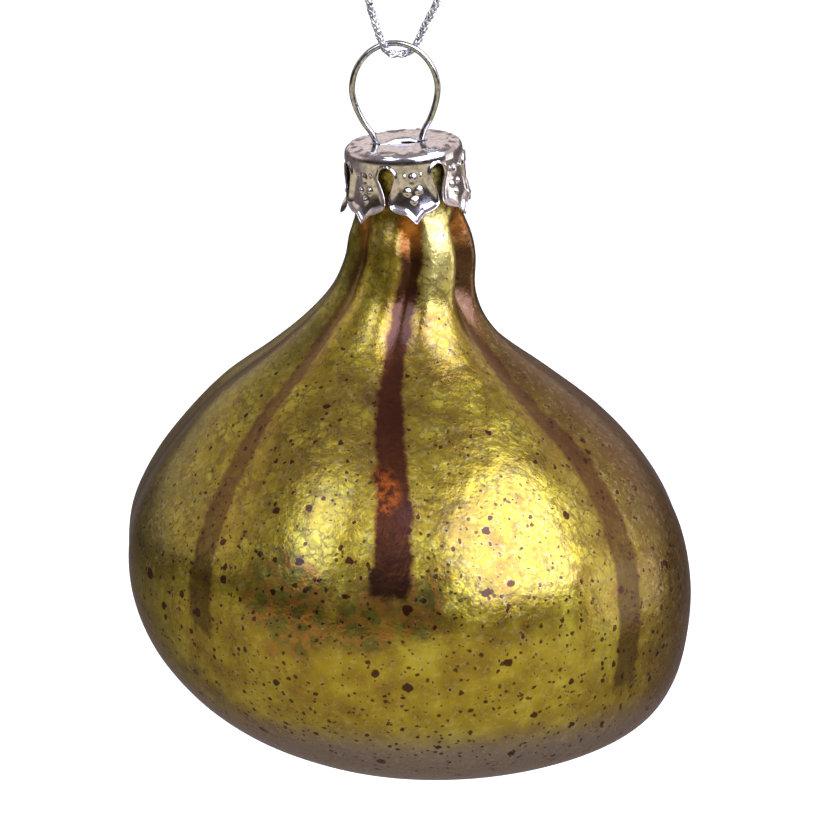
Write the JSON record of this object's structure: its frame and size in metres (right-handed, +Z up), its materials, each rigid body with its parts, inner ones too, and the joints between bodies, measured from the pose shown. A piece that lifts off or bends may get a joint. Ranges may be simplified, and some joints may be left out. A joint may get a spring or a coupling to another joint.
{
  "type": "hanging glass ornament",
  "caption": "Hollow blown-glass hanging ornament in the form of a fluted garlic bulb, with a stamped crown cap, a sprung wire loop and a knotted metallic cord.",
  "frame": {"origin": "where the cord loop hangs on its hook: inside the loop, just under the knot", "axes": "+Z up, along the plumb line; -Y the front, square to the plane of the wire loop"},
  "size_m": [0.0707, 0.0705, 0.1211],
  "materials": {
    "lacquered_glass": "silvered inside, olive-gold lacquer with brown speckles and painted stripes, gloss",
    "stamped_tin": "stamped and embossed thin sheet, bright",
    "steel_wire": "drawn and polished",
    "metallic_cord": "braided metallic thread"
  },
  "bodies": {
    "root": {"glass_bulb": "lacquered_glass", "crown_cap": "stamped_tin", "wire_hanger": "steel_wire", "hanging_cord": "metallic_cord", "cord_knot": "metallic_cord"}
  },
  "joints": []
}
